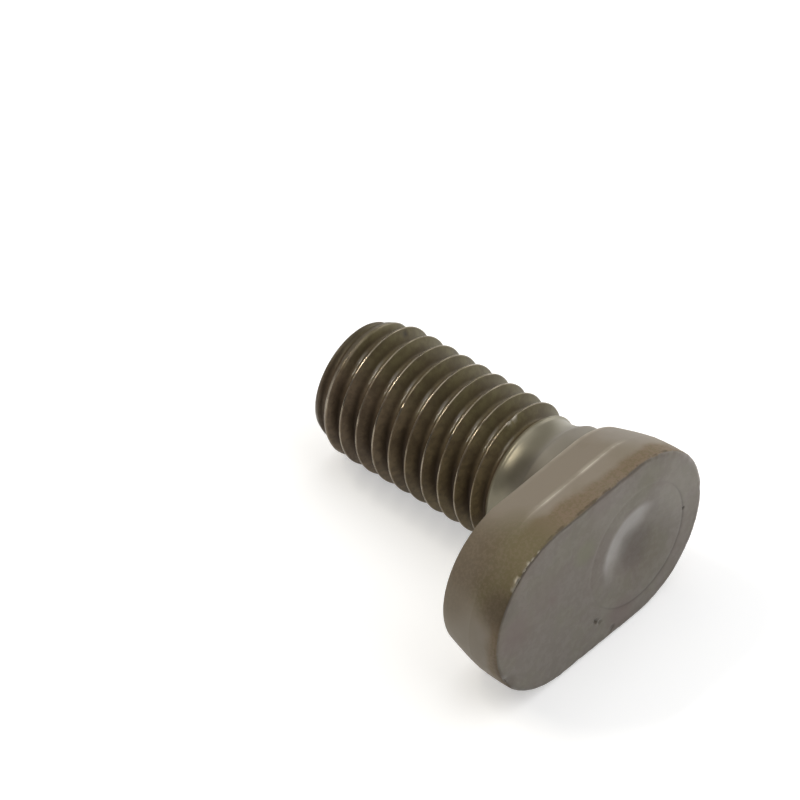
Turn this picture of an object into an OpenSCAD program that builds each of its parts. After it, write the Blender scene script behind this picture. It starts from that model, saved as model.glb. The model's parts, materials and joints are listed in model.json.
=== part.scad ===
// Steel bolt with an oval head that is offset to one side of its shank.
// The bolt lies at rest: the edge of the head's lower flat and the thread's end touch z = 0.
// +Y runs from the head's face to the tip, the head's long end points to -X.

/* [Head] */
// Thickness of the head, from its face to its bearing side
head_thickness = 6.5; // [4:0.1:10]
// Width of the head across its flats, at the straight band next to the face
head_width = 15.7; // [14:0.1:22]
// Width of the bearing side, which the draft of the head leaves smaller
bearing_width = 13.7; // [13.2:0.1:14.5]
// Distance between the centres of the head's two round ends
head_offset = 9.0; // [4:0.1:16]
// Length of the straight band next to the face
band_length = 3.0; // [1:0.1:3.5]
// Rounding of the edge round the face
face_round = 0.3; // [0.1:0.05:0.8]
// Rounding of the edge round the bearing side
bearing_round = 0.25; // [0.1:0.05:0.6]

/* [Dimple in the face] */
// Diameter of the dimple
dimple_d = 8.0; // [4:0.1:9]
// Depth of the dimple
dimple_depth = 0.55; // [0.2:0.05:1]
// How far the dimple and its ring mark lie below the shank's axis
dimple_drop = 0.4; // [0:0.1:0.8]
// Diameter of the fine ring mark round the dimple
ring_d = 11.3; // [10:0.1:13]
// Radius of the ring mark's section
ring_groove_r = 0.1; // [0.05:0.01:0.2]

/* [Shank] */
// Length of the shank, from the bearing side to the tip
shank_length = 23.3; // [18:0.1:60]
// Diameter of the plain collar under the head
collar_d = 12.3; // [12:0.05:12.8]
// Length of the plain collar
collar_length = 1.8; // [1:0.1:4]
// Radius of the fillet between the collar and the head
fillet_r = 0.4; // [0.1:0.05:0.6]
// Diameter of the neck that the thread is rolled on
neck_d = 10.9; // [10:0.05:11.5]
// Length of the hollow flare from the collar down to the neck
flare_length = 2.3; // [1.2:0.1:3]
// Length of the plain neck between the flare and the thread
neck_length = 0.8; // [0.5:0.1:4]

/* [Thread] */
// Outside diameter of the thread
thread_d = 12.0; // [11.7:0.05:12]
// Distance from one turn of the thread to the next
thread_pitch = 1.75; // [1.5:0.05:2]
// Direction in which the thread's groove starts, in degrees from +X
thread_turn = 305; // [0:5:355]
// Length over which the thread runs out into the neck
run_out_length = 0.6; // [0.3:0.1:1.5]
// Length of the chamfered point
point_length = 2.2; // [1:0.1:3]
// Diameter of the flat end of the point
tip_d = 10.1; // [8:0.1:11]

/* [Hidden] */
$fn = 96;
steel_colour = [0.36, 0.33, 0.29];

head_r = head_width / 2;
bearing_r = bearing_width / 2;
collar_r = collar_d / 2;
neck_r = neck_d / 2;
thread_r = thread_d / 2;
tip_r = tip_d / 2;
total_length = head_thickness + shank_length;

// Draft of the head's side, and how far a rounding reaches along each side of the bearing edge
draft = atan2(head_r - bearing_r, head_thickness - band_length);
bearing_reach = bearing_round * tan((90 - draft) / 2);

// Places along the shank, as distances from the face
collar_end = head_thickness + collar_length;
flare_end = collar_end + flare_length;
neck_end = flare_end + neck_length;
thread_start = neck_end + run_out_length;
point_start = total_length - point_length;

// Radius of the flare, which meets the neck smoothly and ends at the collar's edge
flare_step = collar_r - neck_r;
flare_r = (pow(flare_length, 2) + pow(flare_step, 2)) / (2 * flare_step);

// Thread form: flanks at 60 degrees, a crest of an eighth and a root of a sixth of the pitch
flank_slope = tan(30);
crest_half = thread_pitch / 16;
root_half = thread_pitch / 12;
groove_half = thread_pitch / 2 - crest_half;
thread_depth = (groove_half - root_half) / flank_slope;

// The groove comes in over its first turn, which ends where the thread is full, and leaves through the tip
steps_per_turn = 32;
groove_clear = 0.12;
groove_start = thread_start - thread_pitch;
groove_turns = ceil((total_length - groove_start) / thread_pitch) + 1;
groove_steps = groove_turns * steps_per_turn;

// At rest the rear edge of the band and the last full turn of the thread lie on the ground
lie_angle = atan2(head_r - thread_r, point_start - band_length);
lift = band_length * sin(lie_angle) + head_r * cos(lie_angle);
face_reach = face_round * cos(lie_angle) - (head_r - face_round) * sin(lie_angle) - face_round;
tip_reach = total_length * cos(lie_angle) + tip_r * sin(lie_angle);

// Half of the head's section: radius across, distance from the face upwards
module head_section() {
    bearing_corner = [bearing_r - bearing_reach, head_thickness - bearing_round];
    union() {
        polygon([
            [0, 0],
            [head_r - face_round, 0],
            [head_r, face_round],
            [head_r, band_length],
            [bearing_r + bearing_reach * sin(draft), head_thickness - bearing_reach * cos(draft)],
            [bearing_r - bearing_reach, head_thickness],
            [0, head_thickness]
        ]);
        translate([head_r - face_round, face_round]) circle(face_round);
        translate(bearing_corner) circle(bearing_round);
    }
}

// Half of the shank's section, from inside the head to the tip
module shank_section() {
    // Fillet under the head
    difference() {
        translate([collar_r - fillet_r, head_thickness - fillet_r]) square(2 * fillet_r);
        translate([collar_r + fillet_r, head_thickness + fillet_r]) circle(fillet_r);
    }
    // Collar and flare
    difference() {
        translate([0, band_length]) square([collar_r, flare_end - band_length]);
        translate([neck_r + flare_r, flare_end]) circle(flare_r);
    }
    // Neck, thread and point
    polygon([
        [0, collar_end],
        [neck_r, collar_end],
        [neck_r, neck_end],
        [thread_r, thread_start],
        [thread_r, point_start],
        [tip_r, total_length],
        [0, total_length]
    ]);
}

// Section of the groove at one step: radius and distance from the face of its four corners
function groove_section(step) =
    let (
        fade = max(0, 1 - step / steps_per_turn) * (thread_depth + groove_clear),
        outer = thread_r + groove_clear + fade,
        inner = thread_r - thread_depth + fade,
        outer_half = groove_half + groove_clear * flank_slope,
        middle = groove_start + thread_pitch * step / steps_per_turn
    )
    [
        [outer, middle - outer_half],
        [inner, middle - root_half],
        [inner, middle + root_half],
        [outer, middle + outer_half]
    ];

// Right-handed helical groove of the thread, closed at both ends
module thread_groove() {
    corners = len(groove_section(0));
    points = [
        for (step = [0 : groove_steps], corner = groove_section(step))
            let (turn = thread_turn + 360 * step / steps_per_turn)
            [corner[0] * cos(turn), corner[0] * sin(turn), corner[1]]
    ];
    sides = [
        for (step = [0 : groove_steps - 1], i = [0 : corners - 1])
            let (
                a = step * corners + i,
                b = step * corners + (i + 1) % corners
            )
            each [[a, a + corners, b], [b, a + corners, b + corners]]
    ];
    first_end = [for (i = [0 : corners - 1]) i];
    last_end = [for (i = [corners - 1 : -1 : 0]) groove_steps * corners + i];
    polyhedron(points, concat(sides, [first_end, last_end]));
}

// Oval head: a round end on the shank's axis, another one head_offset away, and the flats between them
module head() {
    for (x = [0, -head_offset])
        translate([x, 0, 0]) rotate_extrude() head_section();
    translate([-head_offset, 0, 0]) rotate([90, 0, 90]) linear_extrude(head_offset) {
        head_section();
        mirror([1, 0]) head_section();
    }
}

// Shallow round dimple and the ring mark round it, a little below the shank's axis
module face_marks() {
    dimple_r = (pow(dimple_d / 2, 2) + pow(dimple_depth, 2)) / (2 * dimple_depth);
    translate([0, dimple_drop, 0]) {
        translate([0, 0, dimple_depth - dimple_r]) sphere(dimple_r);
        rotate_extrude() translate([ring_d / 2, 0]) circle(ring_groove_r);
    }
}

// The bolt, built upwards from its face and laid down as it rests
module bolt() {
    color(steel_colour)
        translate([head_offset / 2, -(face_reach + tip_reach) / 2, lift])
        rotate([-90 - lie_angle, 0, 0])
        difference() {
            union() {
                head();
                rotate_extrude() shank_section();
            }
            face_marks();
            thread_groove();
        }
}

bolt();
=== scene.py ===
"""A steel bolt with an offset oval head, modelled in the place of its CAD solid, on a plain studio floor."""

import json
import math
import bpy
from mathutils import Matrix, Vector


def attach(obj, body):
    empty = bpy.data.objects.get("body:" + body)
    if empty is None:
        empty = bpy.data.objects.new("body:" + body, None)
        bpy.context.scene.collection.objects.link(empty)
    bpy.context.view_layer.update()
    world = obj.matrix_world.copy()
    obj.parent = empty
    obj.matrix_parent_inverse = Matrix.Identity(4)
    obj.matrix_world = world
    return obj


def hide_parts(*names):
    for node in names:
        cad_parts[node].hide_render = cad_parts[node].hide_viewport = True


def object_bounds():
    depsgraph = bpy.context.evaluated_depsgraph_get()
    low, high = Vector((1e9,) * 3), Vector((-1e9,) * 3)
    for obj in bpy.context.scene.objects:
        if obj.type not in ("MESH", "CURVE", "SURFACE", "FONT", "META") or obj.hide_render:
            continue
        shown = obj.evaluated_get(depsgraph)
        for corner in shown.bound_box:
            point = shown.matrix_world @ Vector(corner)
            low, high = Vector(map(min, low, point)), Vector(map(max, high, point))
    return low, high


bl_info = {
    "name": "Offset Oval Head Bolt",
    "version": (1, 0, 0),
    "blender": (4, 5, 0),
    "location": "View3D > Sidebar > Bolt",
    "description": "Models a forged and rolled steel bolt in the place of its CAD solid",
    "category": "Add Mesh",
}

import bmesh
import bpy
from bpy.props import FloatProperty, FloatVectorProperty, IntProperty, PointerProperty
from mathutils import Matrix, Vector, noise

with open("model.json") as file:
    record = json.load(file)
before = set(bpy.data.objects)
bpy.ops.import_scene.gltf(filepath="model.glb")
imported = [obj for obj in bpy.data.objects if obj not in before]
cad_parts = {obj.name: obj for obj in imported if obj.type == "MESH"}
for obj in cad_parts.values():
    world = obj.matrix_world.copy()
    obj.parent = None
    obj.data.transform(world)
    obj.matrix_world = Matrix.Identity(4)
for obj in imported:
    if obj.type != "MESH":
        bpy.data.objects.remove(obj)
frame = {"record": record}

CAD_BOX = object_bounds()
MM = 0.001
MOUNTS = {mount["name"]: mount for mount in frame["record"]["mounts"]}
THREAD_MIDDLE = Vector(MOUNTS["thread"]["pos_m"])
SHANK_AXIS = Vector(MOUNTS["thread"]["axis"]).normalized()
BEARING_POINT = Vector(MOUNTS["bearing_face"]["pos_m"])
HEAD_OFFSET = THREAD_MIDDLE.x - BEARING_POINT.x
HEAD_WIDTH = CAD_BOX[1].x - CAD_BOX[0].x - HEAD_OFFSET
THREAD_RADIUS = MOUNTS["thread"]["dims"]["r_mm"] * MM


def length(name, description, metres):
    """A length that a user can change, in metres."""
    return FloatProperty(
        name=name,
        description=description,
        default=metres,
        min=0.0,
        precision=5,
        subtype="DISTANCE",
        unit="LENGTH",
    )


def angle(name, description, degrees):
    """An angle that a user can change, given in degrees."""
    return FloatProperty(
        name=name,
        description=description,
        default=math.radians(degrees),
        subtype="ANGLE",
        unit="ROTATION",
    )


def share(name, description, default):
    """A value from 0 to 1 that a user can change."""
    return FloatProperty(
        name=name,
        description=description,
        default=default,
        min=0.0,
        max=1.0,
        subtype="FACTOR",
    )


def colour(name, description, red, green, blue):
    """A colour that a user can change."""
    return FloatVectorProperty(
        name=name,
        description=description,
        default=(red, green, blue),
        size=3,
        min=0.0,
        max=1.0,
        subtype="COLOR",
    )


def power(name, description, watts):
    """The power of a lamp that a user can change."""
    return FloatProperty(name=name, description=description, default=watts, min=0.0, unit="POWER")


def count(name, description, default):
    """A number of vertices or steps that a user can change."""
    return IntProperty(name=name, description=description, default=default, min=24)


class BoltHead(bpy.types.PropertyGroup):
    """Sizes of the head."""

    offset: length("Offset", "Distance between the centres of the two round ends", HEAD_OFFSET)
    width: length("Width", "Width across the flats, at the band next to the face", HEAD_WIDTH)
    bearing_width: length("Bearing width", "Width of the bearing side", 13.7 * MM)
    thickness: length("Thickness", "From the face to the bearing side", 6.5 * MM)
    band: length("Band", "Length of the straight band next to the face", 3.0 * MM)
    face_round: length("Face rounding", "Rounding of the edge round the face", 0.3 * MM)
    bearing_round: length("Bearing rounding", "Rounding of the edge round the bearing side", 0.25 * MM)
    swell: length("Swell", "How much the head widens on each side toward the shank's end", 0.15 * MM)
    lip: length("Crease lip", "Height of the fine lip along the upper flat's crease", 0.02 * MM)
    crease_wear: length("Crease wear", "How far the crease is worn down on the round ends", 0.12 * MM)
    dimple_radius: length("Dimple radius", "Radius of the dimple in the face", 4.0 * MM)
    dimple_depth: length("Dimple depth", "Depth of the dimple in the face", 0.55 * MM)
    dimple_drop: length("Dimple drop", "How far the dimple lies below the shank's axis", 0.4 * MM)
    dimple_lean: length("Dimple lean", "How far the deepest point lies to the dimple's upper left", 1.6 * MM)
    ring_radius: length("Ring radius", "Radius of the ring mark round the dimple", 5.6 * MM)
    ring_depth: length("Ring depth", "Depth of the ring mark", 0.02 * MM)


class BoltShank(bpy.types.PropertyGroup):
    """Sizes of the shank."""

    length: length("Length", "From the bearing side to the tip", 23.3 * MM)
    collar_radius: length("Collar radius", "Radius of the plain collar under the head", 6.15 * MM)
    collar: length("Collar", "Length of the collar", 1.8 * MM)
    fillet: length("Fillet", "Radius of the fillet between the collar and the head", 0.4 * MM)
    neck_radius: length("Neck radius", "Radius of the neck that the thread is rolled on", 5.45 * MM)
    flare: length("Flare", "Length of the hollow flare from the collar to the neck", 2.3 * MM)
    neck: length("Neck", "Length of the plain neck", 0.8 * MM)
    run_out: length("Run-out", "Length over which the thread fades into the neck", 1.3 * MM)
    thread_radius: length("Thread radius", "Radius over the crests of the thread", THREAD_RADIUS)
    pitch: length("Pitch", "Distance from one turn of the thread to the next", 1.75 * MM)
    crest_place: length("Crest place", "Distance from the face of one crest on the upper side", 19.71 * MM)
    point: length("Point", "Length of the chamfered point", 2.2 * MM)
    tip_radius: length("Tip radius", "Radius of the point's flat end", 5.05 * MM)


class BoltFinish(bpy.types.PropertyGroup):
    """Colours and wear of the steel."""

    rolled: colour("Rolled steel", "Olive brown steel of the thread", 0.225, 0.174, 0.094)
    umber: colour("Umber", "Browner steel toward the thread's end", 0.225, 0.168, 0.112)
    # The roots' colour paints shade in the grooves and on the flanks facing the point, and also mottles the
    # flanks at random
    root: colour("Roots", "Reddish steel in the thread's roots", 0.06, 0.04, 0.024)
    crest: colour("Crests", "Rubbed steel on the thread's crests", 0.28, 0.238, 0.182)
    neck: colour("Neck", "Plain steel of the neck", 0.25, 0.23, 0.172)
    collar: colour("Collar", "Dull steel of the collar", 0.235, 0.214, 0.175)
    forged: colour("Forged steel", "Smooth sides of the head", 0.262, 0.224, 0.176)
    scale: colour("Scale", "Brown scale on the rough band", 0.205, 0.151, 0.1)
    # The olive stain is real on the head's sides; on the thread it is painted shade over the upper and right
    # side
    olive_stain_and_shade: colour("Olive stain", "Olive stain on the head's sides", 0.142, 0.12, 0.058)
    brown: colour("Brown stain", "Brown stain on the head's sides", 0.13, 0.098, 0.062)
    # Soot darkens the dents, a band on the left round end, the dimple's middle and the point's end; it is
    # painted shade along the face's lower edge, on the neck's left next to the head and over the point's
    # first crest
    soot_and_shade: colour("Soot", "Dark stain in pits and along the face's edge", 0.04, 0.03, 0.021)
    # Bright steel is bare steel in the chips; along the crease it is wear with a painted highlight, and
    # along the bearing edge a painted highlight
    bright: colour("Bright steel", "Worn line along the crease and bright chips", 0.62, 0.57, 0.48)
    face: colour("Face", "Grey steel of the head's face", 0.142, 0.121, 0.096)
    # Pale steel is mostly painted light: a painted highlight on the dimple's steep wall and on the collar's
    # shoulder, and painted light on the face's right and top, the head's upper right and the collar's right
    # side; it also gives a paler patch on the left round end and a faint speckle on the face
    pale_and_painted_light: colour("Pale steel", "Paler steel on the dimple's steep side and the right end", 0.35, 0.33, 0.31)
    blush: colour("Blush", "Faint pink patches on the face", 0.136, 0.103, 0.085)
    verdigris: colour("Verdigris", "Faint green patches on the face", 0.145, 0.138, 0.086)


class BoltStage(bpy.types.PropertyGroup):
    """Camera, lamps and floor."""

    azimuth: angle("Azimuth", "Camera's turn from the view along +Y", -49.9)
    elevation: angle("Elevation", "Camera's height above the horizon", 45.33)
    roll: angle("Roll", "Camera's turn about its own view", 2.44)
    distance: length("Distance", "From the camera to the point it looks at", 525.2 * MM)
    lens: FloatProperty(
        name="Lens",
        description="Focal length of the camera",
        default=292.5,
        min=1.0,
        unit="CAMERA",
    )
    floor: colour("Floor", "Colour of the floor", 0.8, 0.8, 0.8)
    floor_size: length("Floor size", "Side of the square floor", 4.0)
    lift: share("Floor lift", "How much lighter the floor looks than the lamps alone make it", 0.45)
    key_colour: colour("Key colour", "Colour of the narrow softbox", 1.0, 0.94, 0.82)
    key: power("Key light", "Power of the narrow softbox behind the bolt", 0.75)
    top: power("Top light", "Power of the broad softbox overhead", 4.0)
    side: power("Side light", "Power of the low softbox to the right", 1.8)
    fill: power("Fill light", "Power of the softbox in front of the bolt", 1.7)
    ambient: share("Ambient", "Strength of the even light all round", 0.08)


class BoltSettings(bpy.types.PropertyGroup):
    """All the settings of the bolt and its stage."""

    head: PointerProperty(type=BoltHead)
    shank: PointerProperty(type=BoltShank)
    finish: PointerProperty(type=BoltFinish)
    stage: PointerProperty(type=BoltStage)
    stations: count("Stations", "Vertices in each ring of the head", 280)
    thread_steps: count("Thread steps", "Steps in one turn of the thread", 160)


# Nicks: place from the shank's axis at the face, reach and depth, all in millimetres, and how dark they are
NICKS = (
    ((-5.1, 0.0, -5.0), 0.4, 0.16, 0.5),
    ((-4.6, 0.0, -5.4), 0.35, 0.1, 0.3),
    ((5.65, 0.0, -0.4), 0.25, 0.08, 0.9),
    ((7.75, 0.25, 0.25), 0.5, 0.06, 0.8),
    ((-15.9, 0.1, -3.8), 1.2, 0.2, 0.2),
    ((-3.1, 0.0, -7.1), 0.45, 0.04, 0.5),
    ((2.5, 26.4, 5.1), 0.5, 0.06, 0.95),
    ((0.7, 18.8, 5.65), 0.5, 0.06, 0.95),
    ((-3.56, 21.2, 4.83), 0.35, 0.12, 0.0),
    ((-3.06, 18.2, 5.16), 0.35, 0.1, 0.0),
    ((-2.16, 14.25, 5.6), 0.35, 0.12, 0.0),
    ((-0.42, 12.8, 5.98), 0.7, 0.16, 0.0),
)

# Tints: kind, place and reach as with the nicks, and strength
TINTS = (
    ("olive_stain_and_shade", (-12.6, 1.2, 6.8), 5.2, 0.9),
    ("olive_stain_and_shade", (-15.0, 1.6, 4.8), 3.5, 0.9),
    # Brown stains on the left round end; towards its back they also stand in for shade, painted shade where
    # it faces away from the light
    ("brown", (-14.2, 5.6, 5.4), 5.0, 0.7),
    ("brown", (-15.7, 0.6, 3.6), 2.7, 0.7),
    ("brown", (-15.6, 6.0, 2.4), 3.4, 0.4),
    # Soot tints: a dark band on the left round end, darker in the dimple's middle, and painted shade on the
    # neck's left, next to the head
    ("soot_and_shade", (-15.6, 0.5, 3.8), 2.0, 0.25),
    ("soot_and_shade", (0.0, 0.4, -0.7), 2.8, 0.35),
    ("soot_and_shade", (-3.6, 8.9, 4.6), 2.6, 0.5),
    ("blush", (-14.6, 0.0, 0.8), 2.6, 0.8),
    ("blush", (-14.4, 0.0, 0.4), 0.7, 1.0),
    ("blush", (-11.0, 0.0, 2.3), 3.0, 0.4),
    ("blush", (-10.1, 0.0, 1.1), 0.7, 1.0),
    ("blush", (-2.1, 0.0, -6.3), 2.2, 1.0),
    ("blush", (-4.4, 0.0, 7.4), 2.4, 0.4),
    ("verdigris", (-6.3, 0.0, 3.4), 1.7, 0.9),
    ("verdigris", (1.5, 0.0, 6.0), 2.0, 0.4),
    # Pale tints: a paler patch on the left round end, then painted light on the face's right and top, the
    # head's upper right and the collar's right side
    ("pale_and_painted_light", (-16.8, 2.8, 0.0), 3.2, 0.15),
    ("pale_and_painted_light", (5.5, 0.0, 2.5), 5.0, 0.2),
    ("pale_and_painted_light", (-3.0, 0.0, 5.8), 3.5, 0.12),
    ("pale_and_painted_light", (3.2, 4.2, 7.2), 3.2, 0.3),
    ("pale_and_painted_light", (2.0, 7.8, 5.8), 2.0, 0.2),
    ("glint", (-11.6, 0.06, 7.2), 0.25, 0.7),
    ("glint", (-12.3, 0.06, 6.95), 0.25, 0.8),
    ("glint", (-12.7, 0.06, 6.75), 0.35, 1.0),
    ("glint", (-13.2, 0.06, 6.45), 0.3, 0.8),
    ("glint", (-14.0, 0.12, 5.9), 0.45, 1.0),
    ("glint", (-14.5, 0.15, 5.4), 0.3, 0.8),
    ("glint", (-0.75, 12.8, 5.95), 0.45, 1.0),
    ("glint", (-0.15, 12.75, 6.0), 0.45, 1.0),
)
TINT_KINDS = ("olive_stain_and_shade", "brown", "soot_and_shade", "blush", "verdigris", "pale_and_painted_light", "glint")

# Marks on the mesh that the materials read, apart from the tints
MARKS = ("threaded", "crest", "root", "oil", "tip_flank_shade", "dull", "scale", "crease", "rim", "ring")

# Direction from the dimple's middle to its steep side
LEAN_WAY = Vector((-0.64, 0.0, 0.77))

# Point that the camera and the lamps look at, and where the lamps stand from it, in metres
AIM = Vector((THREAD_MIDDLE.x, 10.3 * MM, 6.5 * MM))
KEY_WAY = Vector((-0.14, 0.23, 0.36))
TOP_WAY = Vector((0.2, 0.15, 0.95))
SIDE_WAY = Vector((0.58, -0.12, 0.2))
FILL_WAY = Vector((0.15, -0.5, 0.65))
ACROSS = Vector((1.0, 0.0, 0.0))

# Order of the bolt's materials
SIDES, FACE, SHANK = range(3)


def smooth_step(low, high, value):
    """0 below low, 1 above high, and a smooth rise between them."""
    t = min(max((value - low) / (high - low), 0.0), 1.0)
    return t * t * (3.0 - 2.0 * t)


def mix(a, b, t):
    """The value a share t of the way from a to b."""
    return a + (b - a) * t


def bell(away, width):
    """1 at the middle of a mark, falling smoothly to 0 within a few widths."""
    return math.exp(-((away / width) ** 2))


def window(value, rise, fall):
    """A smooth rise over one range and a smooth fall over another."""
    return smooth_step(*rise, value) * (1.0 - smooth_step(*fall, value))


def bolt_place(head):
    """Matrix from the bolt's own frame, which starts on the axis at the face and has +Y to the tip."""
    seat = THREAD_MIDDLE + SHANK_AXIS * (BEARING_POINT - THREAD_MIDDLE).dot(SHANK_AXIS)
    place = Matrix((ACROSS, SHANK_AXIS, ACROSS.cross(SHANK_AXIS))).transposed().to_4x4()
    place.translation = seat - SHANK_AXIS * head.thickness
    return place


def circle_guide(station, stations):
    """Core point and outward direction of one station on a round ring."""
    turn = 2.0 * math.pi * station / stations
    return 0.0, math.cos(turn), math.sin(turn)


def oval_guide(station, stations, head):
    """Core point and outward direction of one station, evenly spaced round the head's oval outline."""
    radius = head.width / 2.0
    quarter = math.pi * radius / 2.0
    way = station / stations * (4.0 * quarter + 2.0 * head.offset)
    stretches = (
        (quarter, 0.0, 0.0, 0.0),
        (head.offset, 0.0, -head.offset, math.pi / 2.0),
        (2.0 * quarter, -head.offset, -head.offset, math.pi / 2.0),
        (head.offset, -head.offset, 0.0, 1.5 * math.pi),
        (quarter, 0.0, 0.0, 1.5 * math.pi),
    )
    for stretch, start, end, turn in stretches:
        if way <= stretch:
            break
        way -= stretch
    core = mix(start, end, way / stretch)
    if start == end:
        turn += way / radius
    return core, math.cos(turn), math.sin(turn)


def arc(centre, radius, start, end, steps):
    """Points of an arc in a section, as radius and distance from the face; angles in degrees."""
    turns = (math.radians(mix(start, end, i / steps)) for i in range(steps + 1))
    return [(centre[0] + radius * math.cos(t), centre[1] + radius * math.sin(t)) for t in turns]


def straight(start, end, steps):
    """Points between two points of a section, both left out."""
    return [(mix(start[0], end[0], i / steps), mix(start[1], end[1], i / steps)) for i in range(1, steps)]


def dimple_section(head, start, end, steps):
    """Section of the dimple and its ring mark, from near the centre out to the plain face."""
    points = []
    roundness = 1.35
    rim_softness = 0.07 * MM
    groove = 0.13 * MM
    for i in range(steps + 1):
        radius = mix(start, end, i / steps)
        cap = head.dimple_depth * (1.0 - (radius / head.dimple_radius) ** roundness)
        bowl = (cap + math.hypot(cap, rim_softness)) / 2.0
        mark = bell(radius - head.ring_radius, groove)
        points.append((radius, bowl + head.ring_depth * mark))
    return points


def head_side_section(head):
    """Section of the head's side, from the face to the bearing side."""
    face_steps, band_steps, draft_steps, bearing_steps = 8, 16, 8, 5
    radius = head.width / 2.0
    bearing = head.bearing_width / 2.0
    draft = math.atan2(radius - bearing, head.thickness - head.band)
    reach = head.bearing_round * math.tan((math.pi / 2.0 - draft) / 2.0)
    face_centre = (radius - head.face_round, head.face_round)
    bearing_centre = (bearing - reach, head.thickness - head.bearing_round)
    front = arc(face_centre, head.face_round, -90.0, 0.0, face_steps)
    back = arc(bearing_centre, head.bearing_round, math.degrees(draft), 90.0, bearing_steps)
    crease = (radius, head.band)
    step = 0.06 * MM
    before = (radius, head.band - step)
    after = (radius - step * math.tan(draft), head.band + step)
    side = front + straight(front[-1], before, band_steps) + [before, crease, after]
    return side + straight(after, back[0], draft_steps) + back


def neck_section(head, shank):
    """Section from the fillet under the head to the plain neck, short of the thread."""
    fillet_steps, collar_steps, flare_steps = 5, 6, 12
    collar_end = head.thickness + shank.collar
    flare_end = collar_end + shank.flare
    fillet_centre = (shank.collar_radius + shank.fillet, head.thickness + shank.fillet)
    fillet = arc(fillet_centre, shank.fillet, 270.0, 180.0, fillet_steps)
    step = shank.collar_radius - shank.neck_radius
    flare_radius = (shank.flare**2 + step**2) / (2.0 * step)
    flare_centre = (shank.neck_radius + flare_radius, flare_end)
    sweep = math.degrees(math.asin(shank.flare / flare_radius))
    flare = arc(flare_centre, flare_radius, 180.0 + sweep, 180.0, flare_steps)
    return fillet + straight(fillet[-1], flare[0], collar_steps) + flare


def ring_edges(geometry):
    """The new ring's edges in what an extrusion returned: those with both ends new."""
    fresh = {item for item in geometry if isinstance(item, bmesh.types.BMVert)}
    return [e for e in geometry if isinstance(e, bmesh.types.BMEdge) and set(e.verts) <= fresh]


def raise_ring(bm, edges, spot):
    """Extrudes a ring of edges and puts each new vertex where spot says for its station."""
    station = bm.verts.layers.int["station"]
    grown = bmesh.ops.extrude_edge_only(bm, edges=edges)["geom"]
    for vert in grown:
        if isinstance(vert, bmesh.types.BMVert):
            vert.co = spot(vert[station])
    return ring_edges(grown)


def model_head_and_neck(settings):
    """Head, collar and neck, as rings raised one after the other from the dimple's centre."""
    head, shank, stations = settings.head, settings.shank, settings.stations
    rounds = [circle_guide(i, stations) for i in range(stations)]
    ovals = [oval_guide(i, stations, head) for i in range(stations)]

    def spot(guides, radius, depth):
        """Where each station lies on a ring of this radius and depth."""
        def place(i):
            core, across, up = guides[i]
            return Vector((core + radius * across, depth, radius * up))
        return place

    def dish_spot(radius, depth):
        """Where each station lies on a ring of the dimple, which leans and lies below the axis."""
        lean = LEAN_WAY * head.dimple_lean * max(0.0, 1.0 - radius / head.dimple_radius)
        centre = lean - Vector((0.0, 0.0, head.dimple_drop))
        level = spot(rounds, radius, depth)
        return lambda i: level(i) + centre

    def between(first, second, t):
        """Where each station lies a share t of the way from one ring to another."""
        return lambda i: first(i).lerp(second(i), t)

    bm = bmesh.new()
    station = bm.verts.layers.int.new("station")
    dish_start, dish_end = 0.1 * MM, 6.4 * MM
    dish_rings, face_rings, bearing_rings = 48, 22, 8
    dish = dimple_section(head, dish_start, dish_end, dish_rings)
    made = bmesh.ops.create_circle(bm, cap_ends=True, cap_tris=True, segments=stations, radius=dish_start)
    rim = [v for v in made["verts"] if v.co.length > dish_start / 2.0]
    rim.sort(key=lambda v: math.atan2(v.co.y, v.co.x) % (2.0 * math.pi))
    first = dish_spot(*dish[0])
    for vert in made["verts"]:
        vert.co = (first(0) + first(stations // 2)) / 2.0
    for i, vert in enumerate(rim):
        vert[station] = i
        vert.co = first(i)
    edges = [e for e in bm.edges if e.is_boundary]
    for point in dish[1:]:
        edges = raise_ring(bm, edges, dish_spot(*point))
    side = head_side_section(head)
    dish_rim, face_edge = dish_spot(*dish[-1]), spot(ovals, *side[0])
    for i in range(1, face_rings):
        edges = raise_ring(bm, edges, between(dish_rim, face_edge, i / face_rings))
    for point in side:
        edges = raise_ring(bm, edges, spot(ovals, *point))
    neck = neck_section(head, shank)
    bearing_edge, neck_foot = spot(ovals, *side[-1]), spot(rounds, *neck[0])
    for i in range(1, bearing_rings):
        edges = raise_ring(bm, edges, between(bearing_edge, neck_foot, i / bearing_rings))
    for point in neck:
        edges = raise_ring(bm, edges, spot(rounds, *point))
    return bm


def thread_turn(shank):
    """One pitch of the thread's section, from crest to crest: distance along the axis and radius."""
    flank = math.tan(math.radians(30.0))
    root_round = 0.18 * shank.pitch
    crest_half = 0.03 * shank.pitch
    floor = shank.thread_radius - (shank.pitch / 2.0 - crest_half) / flank + root_round

    def on_flank(t):
        """Radius of the straight flank, a share t of the pitch from the crest."""
        return shank.thread_radius - (t * shank.pitch - crest_half) / flank

    def in_root(t):
        """Radius of the round root, a share t of the pitch from the crest."""
        off = (0.5 - t) * shank.pitch
        return floor + root_round - math.sqrt(root_round**2 - off**2)

    # Shares of the pitch at which the section has points, and how far the rounded crest dips there
    crown = ((0.0, 0.0), (0.012, 0.0003 * MM), (0.022, 0.002 * MM), (0.034, 0.012 * MM))
    flank_places = (0.055, 0.11, 0.19, 0.28)
    root_places = (0.344, 0.38, 0.42, 0.46)
    half = [(t, shank.thread_radius - dip) for t, dip in crown]
    half += [(t, on_flank(t)) for t in flank_places]
    half += [(t, in_root(t)) for t in root_places]
    whole = half + [(0.5, floor)] + [(1.0 - t, r) for t, r in reversed(half[1:])]
    return [(t * shank.pitch, r) for t, r in whole]


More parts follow.
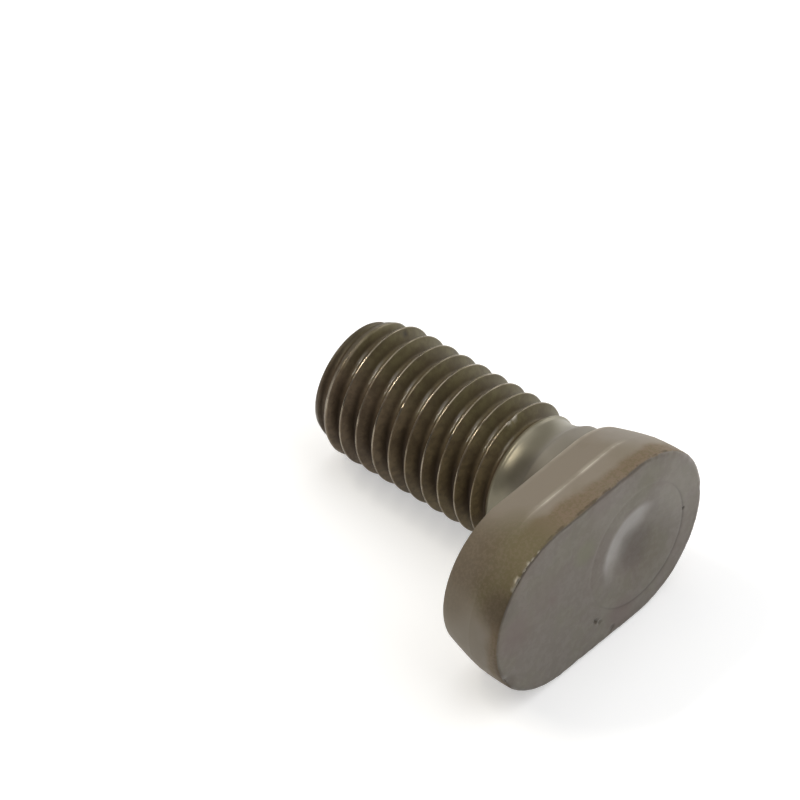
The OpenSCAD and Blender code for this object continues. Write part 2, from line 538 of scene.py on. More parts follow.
def model_thread(settings):
    """The threaded stretch: one section of all the turns, spun with a rise of one pitch."""
    head, shank, steps = settings.head, settings.shank, settings.thread_steps
    tip = head.thickness + shank.length
    neck_end = head.thickness + shank.collar + shank.flare + shank.neck
    low = neck_end - shank.run_out / 2.0 - 2.0 * shank.pitch
    first = math.floor((low - shank.crest_place) / shank.pitch)
    last = math.ceil((tip + shank.pitch - shank.crest_place) / shank.pitch)
    bm = bmesh.new()
    previous = None
    for turn in range(first, last):
        for along, radius in thread_turn(shank):
            vert = bm.verts.new((0.0, shank.crest_place + turn * shank.pitch + along, radius))
            if previous:
                bm.edges.new((previous, vert))
            previous = vert
    bmesh.ops.spin(
        bm,
        geom=bm.verts[:] + bm.edges[:],
        cent=(0.0, 0.0, 0.0),
        axis=(0.0, 1.0, 0.0),
        dvec=(0.0, shank.pitch / steps, 0.0),
        angle=2.0 * math.pi,
        steps=steps,
        use_merge=False,
        use_duplicate=False,
    )
    bmesh.ops.remove_doubles(bm, verts=bm.verts, dist=0.002 * MM)
    shape_thread_ends(bm, settings)
    cut_low = neck_end - shank.run_out / 2.0 - 0.1 * MM
    for place, normal in ((cut_low, -1.0), (tip, 1.0)):
        bmesh.ops.bisect_plane(
            bm,
            geom=bm.verts[:] + bm.edges[:] + bm.faces[:],
            dist=0.001 * MM,
            plane_co=(0.0, place, 0.0),
            plane_no=(0.0, normal, 0.0),
            clear_outer=True,
        )
    return bm


def shape_thread_ends(bm, settings):
    """Fades the thread into the neck at one end and turns the point at the other."""
    head, shank = settings.head, settings.shank
    tip = head.thickness + shank.length
    neck_end = head.thickness + shank.collar + shank.flare + shank.neck
    fade_start = neck_end - shank.run_out / 2.0
    slope = (shank.thread_radius - shank.tip_radius) / shank.point
    for vert in bm.verts:
        radius = math.hypot(vert.co.x, vert.co.z)
        rise = smooth_step(fade_start, fade_start + shank.run_out, vert.co.y)
        point = shank.tip_radius + slope * (tip - vert.co.y)
        shaped = min(mix(shank.neck_radius, radius, rise), point)
        vert.co.x *= shaped / radius
        vert.co.z *= shaped / radius


def close_tip(bm, settings):
    """Closes the flat end of the point with ever smaller rings."""
    shank = settings.shank
    tip = settings.head.thickness + shank.length
    edges = [e for e in bm.edges if e.is_boundary and all(v.co.y > tip - 0.05 * MM for v in e.verts)]
    for scale in (0.98, 0.9, 0.7, 0.5, 0.3, 0.1):
        grown = bmesh.ops.extrude_edge_only(bm, edges=edges)["geom"]
        ring = [v for v in grown if isinstance(v, bmesh.types.BMVert)]
        for vert in ring:
            spread = Vector((vert.co.x, 0.0, vert.co.z)).normalized() * shank.tip_radius * scale
            vert.co = Vector((spread.x, tip, spread.z))
        edges = ring_edges(grown)
    bmesh.ops.pointmerge(bm, verts=ring, merge_co=Vector((0.0, tip, 0.0)))


def join_thread(bm, thread):
    """Adds the threaded stretch to the head and neck, and bridges the gap in the neck."""
    mesh = bpy.data.meshes.new("thread_stretch")
    thread.to_mesh(mesh)
    thread.free()
    bm.from_mesh(mesh)
    bpy.data.meshes.remove(mesh)
    loops = [e for e in bm.edges if e.is_boundary]
    bmesh.ops.bridge_loops(bm, edges=loops)


def head_reach(place, head):
    """Distance of a point from the line between the centres of the head's two round ends."""
    core = min(max(place.x, -head.offset), 0.0)
    return math.hypot(place.x - core, place.z)


def on_upper_flat(place, head):
    """1 on the head's upper flat, falling to 0 on the round ends and the lower side."""
    if place.z < 0.0:
        return 0.0
    left = smooth_step(-head.offset - 1.5 * MM, -head.offset + 0.5 * MM, place.x)
    return left * (1.0 - smooth_step(0.5 * MM, 2.5 * MM, place.x))


def refine_dents(bm):
    """Divides the faces round the face's dents, so that the dents stay crisp."""
    for spot, reach, _, _ in NICKS:
        centre = Vector(spot) * MM
        if centre.y > 0.05 * MM:
            continue
        near = [f for f in bm.faces if (f.calc_center_median() - centre).length < 1.6 * reach * MM]
        edges = list(dict.fromkeys(edge for face in near for edge in face.edges))
        bmesh.ops.subdivide_edges(bm, edges=edges, cuts=3, use_grid_fill=True)
    crowded = [face for face in bm.faces if len(face.verts) > 4]
    bmesh.ops.triangulate(bm, faces=crowded, quad_method="BEAUTY", ngon_method="BEAUTY")


def shank_marks(place, normal, head, shank):
    """Marks of the collar, the neck and the thread at one place."""
    tip = head.thickness + shank.length
    point_start = tip - shank.point
    collar_end = head.thickness + shank.collar
    thread_start = collar_end + shank.flare + shank.neck
    slope = (shank.thread_radius - shank.tip_radius) / shank.point
    depth = 0.6 * shank.pitch

    # How far the place lies below the crests, and its turn from the top in degrees
    outside = min(shank.thread_radius, shank.tip_radius + slope * (tip - place.y))
    fall = outside - math.hypot(place.x, place.z)
    turn = math.degrees(math.atan2(place.x, place.z))

    threaded = smooth_step(thread_start - 0.35 * MM, thread_start + 0.1 * MM, place.y)
    pointed = smooth_step(point_start + 0.4 * MM, point_start + 1.2 * MM, place.y)
    # Darker towards the point's end
    darker_to_tip = smooth_step(point_start + 0.8 * MM, tip - 0.5 * MM, place.y)
    grooved = threaded * (1.0 - smooth_step(tip - 0.12 * MM, tip - 0.02 * MM, place.y))
    rubbed = 1.0 - smooth_step(0.012 * MM, 0.035 * MM, fall)
    # Painted reflection: a light line along the point's end edge
    tip_edge_reflection = bell(place.y - tip + 0.08 * MM, 0.1 * MM) * rubbed
    # Painted highlight along the collar's shoulder, from the top round to the right
    shoulder_highlight = bell(place.y - collar_end - 0.15 * MM, 0.35 * MM)
    upper = window(turn, (-80.0, -40.0), (70.0, 110.0))
    shaded = window(turn, (-55.0, -10.0), (70.0, 110.0))
    oily = window(turn, (-58.0, -46.0), (-20.0, -8.0))
    return {
        "threaded": threaded,
        # Crests are rubbed steel; along the point's end edge the crest mark is a painted reflection
        "crest": max(threaded * (1.0 - 0.9 * pointed) * rubbed, 0.7 * tip_edge_reflection),
        # Painted shade in the grooves, half as strong on the upper side
        "root": grooved * smooth_step(0.35 * depth, depth, fall) * mix(1.0, 0.5, upper),
        "oil": grooved * oily * smooth_step(0.8 * depth, depth, fall),
        # Painted shade on the flanks facing the point, which are also made rough
        "tip_flank_shade": threaded * smooth_step(0.25, 0.6, normal.y),
        "dull": 1.0 - smooth_step(collar_end - 0.6 * MM, collar_end + 1.7 * MM, place.y),
        # Painted shade: the thread's upper and right side made darker
        "olive_stain_and_shade": 0.95 * grooved * shaded,
        "brown": threaded * smooth_step(15.0 * MM, 27.0 * MM, place.y),
        # Darker towards the point's end, and painted shade over the chamfered first crest, where it catches
        # the light
        "soot_and_shade": 0.5 * max(darker_to_tip, pointed * rubbed),
        "pale_and_painted_light": 0.35 * shoulder_highlight * smooth_step(-50.0, 0.0, turn),
    }


def side_marks(place, head):
    """Marks of the head's sides at one place: scale, the crease's worn line with a painted highlight, a
    painted highlight along the bearing edge, the ragged rim, and painted shade along the face's lower edge.
    """
    past = head_reach(place, head) - head.width / 2.0
    side = smooth_step(-0.6 * MM, -0.35 * MM, past)

    # The scale reaches further towards the long end, and stops short of its round
    reach = mix(1.4 * MM, 2.3 * MM, smooth_step(-2.0 * MM, -10.0 * MM, place.x))
    reach -= 1.3 * MM * smooth_step(-12.0 * MM, -15.5 * MM, place.x)
    ragged = 0.35 * MM * noise.noise(place / (1.6 * MM))
    ragged += 0.12 * MM * noise.noise(place / (0.4 * MM))
    bare = smooth_step(reach - 0.4 * MM, reach + 0.4 * MM, place.y + ragged)

    # The crease's worn line is strong only on the upper flat, where it is also a painted highlight; the line
    # along the bearing edge is a painted highlight
    line = bell(place.y - head.band, 0.07 * MM) * mix(0.02, 1.0, on_upper_flat(place, head))
    edge = bell(place.y - head.thickness + 0.12 * MM, 0.1 * MM)
    edge *= smooth_step(-head.offset - 1.5 * MM, 0.0, place.x) * smooth_step(0.0, 4.0 * MM, place.z)
    rim = bell(place.y - 0.2 * MM, 0.18 * MM) * smooth_step(0.0, 3.0 * MM, place.z)
    # Painted shade along the face's lower edge, where its rounding faces down
    under = bell(past + 0.1 * MM, 0.2 * MM) * smooth_step(1.0 * MM, -3.0 * MM, place.z)
    under *= 1.0 - smooth_step(0.3 * MM, 0.6 * MM, place.y)
    return {
        "scale": side * (1.0 - bare),
        "crease": line + 0.7 * edge,
        "rim": side * rim * smooth_step(-12.5 * MM, -9.5 * MM, place.x),
        "soot_and_shade": 0.5 * under,
    }


def dimple_marks(place, head):
    """Marks of the face at one place: a painted highlight on the dimple's steep wall, and painted shade
    along the ring round it.
    """
    out = place + Vector((0.0, 0.0, head.dimple_drop))
    past = head_reach(place, head) - head.width / 2.0
    face = 1.0 - smooth_step(-0.6 * MM, -0.35 * MM, past)
    ring = math.hypot(out.x, out.z) - head.ring_radius
    toward = out.dot(LEAN_WAY) / max(out.length, 0.1 * MM)
    # Painted highlight on the dimple's steep wall, weaker towards its lower end
    wall = window(out.length, (0.2 * MM, 2.6 * MM), (3.5 * MM, 4.4 * MM)) * smooth_step(0.0, 0.8, toward)
    lower = smooth_step(1.8 * MM, -1.2 * MM, out.z)
    # Painted shade along the ring mark's groove, strongest on its lower right, and a fainter dark band just
    # inside the ring on the steep side
    groove = bell(ring, 0.12 * MM) * mix(0.15, 1.0, smooth_step(0.5, -0.9, toward))
    smudge = bell(ring + 0.45 * MM, 0.4 * MM) * smooth_step(0.2, 0.8, toward)
    return {
        "pale_and_painted_light": mix(0.8, 0.25, lower) * wall,
        "ring": face * max(groove, 0.22 * smudge),
    }


def mark_surface(bm, settings):
    """Stores for the materials where the steel is threaded, rubbed, scaled, worn and tinted, and where shade
    and highlights are painted.
    """
    head, shank = settings.head, settings.shank
    layers = {name: bm.verts.layers.float.new(name) for name in MARKS + TINT_KINDS}
    bm.normal_update()
    for vert in bm.verts:
        marks = shank_marks(vert.co, vert.normal, head, shank)
        if vert.co.y <= head.thickness:
            marks.update(side_marks(vert.co, head))
            marks.update(dimple_marks(vert.co, head))
        for name, value in marks.items():
            vert[layers[name]] = value
    for kind, spot, reach, strength in TINTS:
        tint(bm, layers[kind], spot, reach, strength)
    for spot, reach, _, stain in NICKS:
        tint(bm, layers["soot_and_shade"], spot, reach, stain)


def tint(bm, layer, spot, reach, strength):
    """Raises a mark round one place, where the mark isn't stronger already."""
    centre = Vector(spot) * MM
    for vert in bm.verts:
        away = (vert.co - centre).length / (reach * MM)
        if away < 1.0:
            vert[layer] = max(vert[layer], strength * smooth_step(1.0, 0.3, away))


def worn_head(bm, head):
    """How far the head's vertices move where its band is rough, its crease worn and its face uneven."""
    scale = bm.verts.layers.float["scale"]
    rim = bm.verts.layers.float["rim"]
    crease = bm.verts.layers.float["crease"]
    moves = {}
    for vert in bm.verts:
        place = vert.co
        if place.y > head.thickness:
            continue
        flat = on_upper_flat(place, head)
        away = place.y - head.band
        worn = (0.4 * bell(away, 0.45 * MM) + 0.6 * bell(away, 1.3 * MM)) * (1.0 - flat)
        rough = 0.02 * MM * noise.fractal(place / (0.5 * MM), 1.0, 2.0, 3) * vert[scale]
        chips = 0.05 * MM * min(noise.noise(place / (0.5 * MM)), 0.0) * vert[rim]
        uneven = 0.02 * MM * noise.noise(place / (4.0 * MM)) * smooth_step(0.5, 0.9, -vert.normal.y)
        lip = head.lip * flat * vert[crease]
        swell = head.swell * smooth_step(-head.offset, 0.0, place.x)
        outward = Vector((vert.normal.x, 0.0, vert.normal.z))
        raised = rough + chips + uneven + lip - head.crease_wear * worn
        moves[vert] = vert.normal * raised + outward * swell
    return moves


def weather(bm, settings):
    """Wears the head and presses the nicks in."""
    bm.normal_update()
    moves = worn_head(bm, settings.head)
    for spot, reach, depth, _ in NICKS:
        centre = Vector(spot) * MM
        for vert in bm.verts:
            away = (vert.co - centre).length / (reach * MM)
            if away < 1.0:
                uneven = 0.7 + 0.6 * noise.noise(vert.co / (0.2 * MM))
                pressed = vert.normal * (-depth * MM * uneven * smooth_step(1.0, 0.2, away))
                moves[vert] = moves.get(vert, Vector()) + pressed
    for vert, move in moves.items():
        vert.co += move


def region_materials(bm, head):
    """Gives the face, the head's sides and the shank their own materials."""
    for face in bm.faces:
        place = face.calc_center_median()
        if place.y > head.thickness + 0.02 * MM:
            face.material_index = SHANK
        elif face.normal.y < -0.7 and place.y < head.dimple_depth + 0.2 * MM:
            face.material_index = FACE
        else:
            face.material_index = SIDES
        face.smooth = True


def new_material(name):
    """A material with its node tree and Principled shader."""
    material = bpy.data.materials.new(name)
    material.use_nodes = True
    tree = material.node_tree
    return material, tree, tree.nodes["Principled BSDF"]


def add_node(tree, kind, **values):
    """A node with the given settings; a name that is no setting is an input's value."""
    node = tree.nodes.new(kind)
    for name, value in values.items():
        if hasattr(node, name):
            setattr(node, name, value)
        else:
            node.inputs[name.replace("_", " ")].default_value = value
    return node


def attribute(tree, name):
    """The value of one of the mesh's own marks."""
    return add_node(tree, "ShaderNodeAttribute", attribute_name=name).outputs["Fac"]


def give(tree, socket, value):
    """Links a value to a socket, or sets the socket to a fixed number or colour."""
    if isinstance(value, bpy.types.NodeSocket):
        tree.links.new(value, socket)
    elif isinstance(value, float):
        socket.default_value = value
    else:
        socket.default_value = (*value, 1.0)


def blend_colour(tree, amount, first, second):
    """A colour mixed from two colours, each a socket or a fixed colour."""
    node = add_node(tree, "ShaderNodeMix", data_type="RGBA")
    # A mix node has sockets for every type of value, and the colours' are these
    for place, value in ((0, amount), (6, first), (7, second)):
        give(tree, node.inputs[place], value)
    return node.outputs[2]


def blend_value(tree, amount, first, second):
    """A value mixed from two values, each a socket or a fixed number."""
    node = add_node(tree, "ShaderNodeMix", data_type="FLOAT")
    for place, value in ((0, amount), (2, first), (3, second)):
        give(tree, node.inputs[place], value)
    return node.outputs[0]


def ramp(tree, value, low, high, start=0.0, end=1.0):
    """A value mapped from one range to another, held at its ends."""
    node = add_node(tree, "ShaderNodeMapRange", interpolation_type="SMOOTHSTEP")
    for name, number in (("From Min", low), ("From Max", high), ("To Min", start), ("To Max", end)):
        node.inputs[name].default_value = number
    tree.links.new(value, node.inputs["Value"])
    return node.outputs["Result"]


def stained(tree, mask, strength, base, stain):
    """A colour with a stain laid over it where the mask says, up to a strength."""
    return blend_colour(tree, ramp(tree, mask, 0.0, 1.0, 0.0, strength), base, stain)


def marked(tree, base, *marks):
    """A colour with other colours laid over it, each where one of the mesh's marks says."""
    for name, tone in marks:
        base = blend_colour(tree, attribute(tree, name), base, tone)
    return base


def feed(tree, shader, **values):
    """Links values to the shader's inputs of these names."""
    for name, value in values.items():
        tree.links.new(value, shader.inputs[name.replace("_", " ")])


def new_group(name, inputs, outputs):
    """A shader node group with named sockets: its tree, and the nodes of its inputs and outputs."""
    tree = bpy.data.node_groups.new(name, "ShaderNodeTree")
    for label, default in inputs.items():
        socket = tree.interface.new_socket(label, in_out="INPUT", socket_type="NodeSocketFloat")
        socket.default_value = default
    for label in outputs:
        tree.interface.new_socket(label, in_out="OUTPUT", socket_type="NodeSocketFloat")
    return tree, tree.nodes.new("NodeGroupInput"), tree.nodes.new("NodeGroupOutput")


def grain_group():
    """Fine height of bare steel: a soft waviness, a grain and scattered pits."""
    inputs = {"Wave Scale": 300.0, "Grain Scale": 4000.0, "Grain": 0.4, "Pits": 0.3}
    tree, given, put = new_group("Steel Grain", inputs, ["Height"])
    place = add_node(tree, "ShaderNodeTexCoord").outputs["Object"]
    heights = []
    for label in ("Wave Scale", "Grain Scale"):
        texture = add_node(tree, "ShaderNodeTexNoise", Detail=3.0)
        tree.links.new(place, texture.inputs["Vector"])
        tree.links.new(given.outputs[label], texture.inputs["Scale"])
        heights.append(texture.outputs["Fac"])
    spots = add_node(tree, "ShaderNodeTexVoronoi", Scale=1400.0)
    tree.links.new(place, spots.inputs["Vector"])
    pits = ramp(tree, spots.outputs["Distance"], 0.05, 0.22, -1.0, 0.0)
    total = heights[0]
    for height, label in ((heights[1], "Grain"), (pits, "Pits")):
        scaled = add_node(tree, "ShaderNodeMath", operation="MULTIPLY_ADD")
        tree.links.new(height, scaled.inputs[0])
        tree.links.new(given.outputs[label], scaled.inputs[1])
        tree.links.new(total, scaled.inputs[2])
        total = scaled.outputs[0]
    tree.links.new(total, put.inputs["Height"])
    return tree


def patches_group():
    """Soft patches where steel is stained, as two masks of different size."""
    tree, given, put = new_group("Stain Patches", {"Scale": 200.0}, ["Wide", "Fine"])
    place = add_node(tree, "ShaderNodeTexCoord").outputs["Object"]
    for label, factor in (("Wide", 1.0), ("Fine", 6.0)):
        size = add_node(tree, "ShaderNodeMath", operation="MULTIPLY")
        size.inputs[1].default_value = factor
        tree.links.new(given.outputs["Scale"], size.inputs[0])
        texture = add_node(tree, "ShaderNodeTexNoise", Detail=4.0, Roughness=0.6)
        tree.links.new(place, texture.inputs["Vector"])
        tree.links.new(size.outputs[0], texture.inputs["Scale"])
        tree.links.new(ramp(tree, texture.outputs["Fac"], 0.42, 0.62), put.inputs[label])
    return tree


def wear_group():
    """Breaks a mask up into rubbed and unrubbed stretches."""
    tree, given, put = new_group("Broken Wear", {"Mask": 0.0, "Scale": 500.0}, ["Wear"])
    place = add_node(tree, "ShaderNodeTexCoord").outputs["Object"]
    texture = add_node(tree, "ShaderNodeTexNoise", Detail=3.0, Roughness=0.6)
    tree.links.new(place, texture.inputs["Vector"])
    tree.links.new(given.outputs["Scale"], texture.inputs["Scale"])
    worn = add_node(tree, "ShaderNodeMath", operation="MULTIPLY")
    tree.links.new(ramp(tree, texture.outputs["Fac"], 0.35, 0.65, 0.3, 1.0), worn.inputs[0])
    tree.links.new(given.outputs["Mask"], worn.inputs[1])
    tree.links.new(worn.outputs[0], put.inputs["Wear"])
    return tree


def add_group(tree, group, **values):
    """A placed node group with its own values."""
    node = tree.nodes.new("ShaderNodeGroup")
    node.node_tree = group
    for name, value in values.items():
        node.inputs[name.replace("_", " ")].default_value = value
    return node


def add_bump(tree, shader, height, distance, strength):
    """Feeds a height to the shader's normal."""
    bump = add_node(tree, "ShaderNodeBump", Distance=distance, Strength=strength)
    tree.links.new(height, bump.inputs["Height"])
    tree.links.new(bump.outputs["Normal"], shader.inputs["Normal"])


def broken(tree, wear, mask, scale):
    """One of the mesh's marks, broken up into rubbed and unrubbed stretches."""
    node = add_group(tree, wear, Scale=scale)
    tree.links.new(attribute(tree, mask), node.inputs["Mask"])
    return node.outputs["Wear"]


def forged_material(finish, grain, patches, wear):
    """Dull drafted sides of the head, with brown scale on the band next to the face, painted highlights
    along the crease and the bearing edge, painted light on the upper right and painted shade along the
    face's lower edge.
    """
    material, tree, shader = new_material("forged_steel")
    stain = add_group(tree, patches, Scale=180.0)
    speckle = add_group(tree, patches, Scale=650.0).outputs["Fine"]
    glint = attribute(tree, "glint")
    steel = stained(tree, stain.outputs["Wide"], 0.15, finish.forged, finish.olive_stain_and_shade)
    scale = stained(tree, speckle, 0.5, finish.scale, finish.olive_stain_and_shade)
    olive_stain_and_shade = stained(tree, speckle, 0.45, finish.olive_stain_and_shade, finish.scale)
    brown = stained(tree, speckle, 0.45, finish.brown, finish.scale)
    # Pale marks are painted light on the upper right, besides a paler patch on the left round end; brown
    # marks are partly painted shade on the left round end's back
    sides = marked(tree, steel, ("scale", scale), ("pale_and_painted_light", finish.pale_and_painted_light), ("olive_stain_and_shade", olive_stain_and_shade), ("brown", brown))
    rim = ramp(tree, broken(tree, wear, "rim", 900.0), 0.5, 0.95, 0.0, 0.5)
    sides = blend_colour(tree, rim, sides, finish.soot_and_shade)
    # Crease and bearing-edge lines: worn steel with a painted highlight
    sides = blend_colour(tree, broken(tree, wear, "crease", 400.0), sides, finish.bright)
    # Soot: stains in the dents and on the left round end, and painted shade along the face's lower edge
    sides = marked(tree, sides, ("soot_and_shade", finish.soot_and_shade))
    feed(
        tree,
        shader,
        Base_Color=blend_colour(tree, glint, sides, finish.bright),
        Roughness=blend_value(tree, glint, 0.6, 0.3),
        Metallic=blend_value(tree, glint, 0.15, 0.9),
    )
    shader.inputs["Specular IOR Level"].default_value = 0.3
    fine = add_group(tree, grain, Wave_Scale=260.0, Grain_Scale=3500.0)
    add_bump(tree, shader, fine.outputs["Height"], 0.03 * MM, 0.35)
    return material


def face_material(finish, grain, patches):
    """Smooth grey face with faint pink and green stains, a painted highlight on the dimple's steep wall,
    painted light on its right and top, and painted shade along the ring mark.
    """
    material, tree, shader = new_material("face_steel")
    stain = add_group(tree, patches, Scale=140.0)
    film = add_group(tree, patches, Scale=260.0)
    tone = stained(tree, stain.outputs["Wide"], 0.45, finish.face, finish.blush)
    tone = stained(tree, film.outputs["Wide"], 0.35, tone, finish.verdigris)
    tone = stained(tree, film.outputs["Fine"], 0.07, tone, finish.pale_and_painted_light)
    # Pale marks are painted light; soot marks are stains in the dents and darker in the dimple's middle
    tone = marked(
        tree,
        tone,
        ("pale_and_painted_light", finish.pale_and_painted_light),
        ("blush", finish.blush),
        ("verdigris", finish.verdigris),
        ("soot_and_shade", finish.soot_and_shade),
    )
    feed(
        tree,
        shader,
        # Painted shade along the ring mark
        Base_Color=stained(tree, attribute(tree, "ring"), 0.5, tone, finish.soot_and_shade),
        Roughness=ramp(tree, stain.outputs["Fine"], 0.0, 1.0, 0.36, 0.42),
    )
    shader.inputs["Metallic"].default_value = 0.35
    fine = add_group(tree, grain, Wave_Scale=220.0, Grain_Scale=4200.0)
    add_bump(tree, shader, fine.outputs["Height"], 0.02 * MM, 0.2)
    return material


def rolled_material(finish, grain, patches, wear):
    """Olive brown thread with rubbed crests, painted shade in its roots, on the flanks facing the point and
    over its upper side, and the lighter neck and collar, with a painted highlight on the collar's shoulder.
    """
    material, tree, shader = new_material("rolled_steel")
    stain = add_group(tree, patches, Scale=320.0)
    threaded, dull, root, tip_flank_shade = (attribute(tree, name) for name in ("threaded", "dull", "root", "tip_flank_shade"))
    rubbed = broken(tree, wear, "crest", 500.0)
    # The olive mark on the thread is painted shade over its upper and right side
    flank = marked(tree, finish.rolled, ("brown", finish.umber), ("olive_stain_and_shade", finish.olive_stain_and_shade))
    flank = stained(tree, stain.outputs["Wide"], 0.35, flank, finish.root)
    flank = stained(tree, stain.outputs["Fine"], 0.25, flank, finish.root)
    # Painted shade on the flanks facing the point, and in the grooves
    flank = stained(tree, tip_flank_shade, 0.6, flank, finish.root)
    flank = blend_colour(tree, root, flank, finish.root)
    thread = blend_colour(tree, rubbed, flank, finish.crest)
    bare = blend_colour(tree, dull, finish.neck, finish.collar)
    whole = blend_colour(tree, threaded, bare, thread)
    # Pale marks: a painted highlight on the collar's shoulder and painted light on its right; soot marks:
    # stains in the nicks, darker towards the point's end, and painted shade on the neck's left and over the
    # point's first crest
    whole = marked(tree, whole, ("pale_and_painted_light", finish.pale_and_painted_light), ("soot_and_shade", finish.soot_and_shade), ("glint", finish.bright))
    thread_metal = blend_value(tree, rubbed, 0.12, 0.8)
    bare_metal = blend_value(tree, dull, 0.42, 0.2)
    thread_gloss = blend_value(tree, tip_flank_shade, blend_value(tree, root, 0.36, 0.5), 0.9)
    thread_gloss = blend_value(tree, rubbed, thread_gloss, 0.12)
    bare_gloss = blend_value(tree, dull, 0.34, 0.55)
    feed(
        tree,
        shader,
        Base_Color=whole,
        Metallic=blend_value(tree, threaded, bare_metal, thread_metal),
        Roughness=blend_value(tree, threaded, bare_gloss, thread_gloss),
        Coat_Weight=attribute(tree, "oil"),
    )
    shader.inputs["Coat Roughness"].default_value = 0.1
    shader.inputs["Specular IOR Level"].default_value = 0.15
    fine = add_group(tree, grain, Wave_Scale=500.0, Grain_Scale=5000.0)
    add_bump(tree, shader, fine.outputs["Height"], 0.015 * MM, 0.3)
    return material


class MESH_OT_offset_bolt(bpy.types.Operator):
    """Model the bolt in the place of its CAD solid"""

    bl_idname = "mesh.offset_bolt"
    bl_label = "Offset Oval Head Bolt"

    def execute(self, context):
        settings = context.scene.offset_bolt
        bm = model_head_and_neck(settings)
        thread = model_thread(settings)
        close_tip(thread, settings)
        join_thread(bm, thread)
        bmesh.ops.recalc_face_normals(bm, faces=bm.faces)
        if any(not edge.is_manifold for edge in bm.edges):
            raise RuntimeError("the bolt's surface isn't closed")
        refine_dents(bm)
        mark_surface(bm, settings)
        weather(bm, settings)
        bm.normal_update()
        region_materials(bm, settings.head)
        bm.transform(bolt_place(settings.head))
        mesh = bpy.data.meshes.new("steel_bolt")
        bm.to_mesh(mesh)
        bm.free()
        bolt = bpy.data.objects.new("steel_bolt", mesh)
        context.collection.objects.link(bolt)
        grain, patches, wear = grain_group(), patches_group(), wear_group()
        finish = settings.finish
        mesh.materials.append(forged_material(finish, grain, patches, wear))
        mesh.materials.append(face_material(finish, grain, patches))
        mesh.materials.append(rolled_material(finish, grain, patches, wear))
        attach(bolt, "root")
        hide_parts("bolt")
        return {"FINISHED"}


def floor_material(stage):
    """Pale floor that reads as white to the camera and in reflections, and still takes the shadow."""
    material, tree, shader = new_material("studio_floor")
    shader.inputs["Base Color"].default_value = (*stage.floor, 1.0)
    shader.inputs["Roughness"].default_value = 0.9
    path = add_node(tree, "ShaderNodeLightPath")
    seen = path.outputs["Is Camera Ray"]
    for kind in ("Is Glossy Ray", "Is Transmission Ray"):
        either = add_node(tree, "ShaderNodeMath", operation="MAXIMUM")
        tree.links.new(seen, either.inputs[0])
        tree.links.new(path.outputs[kind], either.inputs[1])
        seen = either.outputs[0]
    lift = add_node(tree, "ShaderNodeMath", operation="MULTIPLY")
    lift.inputs[1].default_value = stage.lift
    tree.links.new(seen, lift.inputs[0])
    shader.inputs["Emission Color"].default_value = (1.0, 1.0, 1.0, 1.0)
    tree.links.new(lift.outputs[0], shader.inputs["Emission Strength"])
    return material


def add_softbox(context, name, watts, way, along, width, height, tone=(1.0, 1.0, 1.0)):
    """A rectangular area lamp that looks back along its way, with its width along a direction."""
    lamp = bpy.data.lights.new(name, "AREA")
    lamp.shape = "RECTANGLE"
    lamp.size, lamp.size_y = width, height
    lamp.energy = watts
    lamp.color = tone
    back = way.normalized()
    side = (along - back * along.dot(back)).normalized()
    turn = Matrix((side, back.cross(side), back)).transposed().to_4x4()
    turn.translation = AIM + way
    holder = bpy.data.objects.new(name, lamp)
    holder.matrix_world = turn
    context.collection.objects.link(holder)


def photo_camera(stage):
    """Matrix of the camera: its direction from the aim, its distance and its roll."""
    level = Vector((math.sin(stage.azimuth), -math.cos(stage.azimuth), 0.0))
    back = level * math.cos(stage.elevation) + Vector((0.0, 0.0, math.sin(stage.elevation)))
    turn = back.to_track_quat("Z", "Y").to_matrix().to_4x4() @ Matrix.Rotation(stage.roll, 4, "Z")
    return Matrix.Translation(AIM + back * stage.distance) @ turn


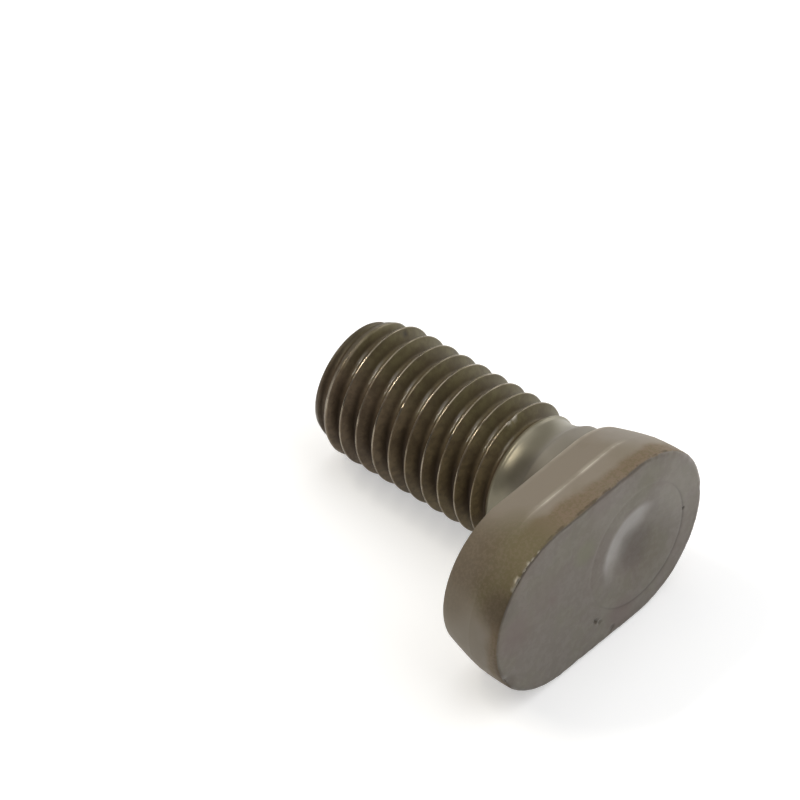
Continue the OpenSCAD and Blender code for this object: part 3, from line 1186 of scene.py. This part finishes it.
class SCENE_OT_offset_bolt_stage(bpy.types.Operator):
    """Set up the floor, the soft lamps and the camera"""

    bl_idname = "scene.offset_bolt_stage"
    bl_label = "Bolt Stage"

    def execute(self, context):
        scene = context.scene
        stage = scene.offset_bolt.stage
        scene.view_settings.view_transform = "Standard"
        bm = bmesh.new()
        bmesh.ops.create_grid(bm, x_segments=1, y_segments=1, size=stage.floor_size / 2.0)
        mesh = bpy.data.meshes.new("floor")
        bm.to_mesh(mesh)
        bm.free()
        mesh.materials.append(floor_material(stage))
        floor = bpy.data.objects.new("floor", mesh)
        context.collection.objects.link(floor)
        world = bpy.data.worlds.new("studio")
        world.use_nodes = True
        world.node_tree.nodes["Background"].inputs["Color"].default_value = (1.0, 1.0, 1.0, 1.0)
        world.node_tree.nodes["Background"].inputs["Strength"].default_value = stage.ambient
        scene.world = world
        round_shank = KEY_WAY.cross(SHANK_AXIS)
        add_softbox(context, "key", stage.key, KEY_WAY, round_shank, 0.24, 0.015, stage.key_colour)
        add_softbox(context, "top", stage.top, TOP_WAY, ACROSS, 1.0, 1.0)
        add_softbox(context, "side", stage.side, SIDE_WAY, SHANK_AXIS, 0.7, 0.4)
        add_softbox(context, "fill", stage.fill, FILL_WAY, ACROSS, 0.6, 0.6)
        camera = bpy.data.cameras.new("camera")
        camera.lens = stage.lens
        camera.sensor_width = 36.0
        camera.clip_start = 0.01
        holder = bpy.data.objects.new("camera", camera)
        holder.matrix_world = photo_camera(stage)
        context.collection.objects.link(holder)
        scene.camera = holder
        return {"FINISHED"}


class VIEW3D_PT_offset_bolt(bpy.types.Panel):
    """Sidebar panel of the bolt"""

    bl_idname = "VIEW3D_PT_offset_bolt"
    bl_label = "Offset Oval Head Bolt"
    bl_space_type = "VIEW_3D"
    bl_region_type = "UI"
    bl_category = "Bolt"

    def draw(self, context):
        settings = context.scene.offset_bolt
        self.layout.operator(MESH_OT_offset_bolt.bl_idname)
        self.layout.operator(SCENE_OT_offset_bolt_stage.bl_idname)
        self.layout.prop(settings, "stations")
        self.layout.prop(settings, "thread_steps")
        for group in (settings.head, settings.shank, settings.finish, settings.stage):
            box = self.layout.box()
            box.label(text=group.bl_rna.description)
            for name in group.__annotations__:
                box.prop(group, name)


CLASSES = (
    BoltHead,
    BoltShank,
    BoltFinish,
    BoltStage,
    BoltSettings,
    MESH_OT_offset_bolt,
    SCENE_OT_offset_bolt_stage,
    VIEW3D_PT_offset_bolt,
)


def register():
    """Registers the classes and the scene's settings."""
    for item in CLASSES:
        bpy.utils.register_class(item)
    bpy.types.Scene.offset_bolt = PointerProperty(type=BoltSettings)


def unregister():
    """Takes the settings and the classes away again."""
    del bpy.types.Scene.offset_bolt
    for item in reversed(CLASSES):
        bpy.utils.unregister_class(item)


def main():
    """Builds the bolt and its stage."""
    register()
    bpy.ops.mesh.offset_bolt()
    bpy.ops.scene.offset_bolt_stage()


if __name__ == "__main__":
    main()
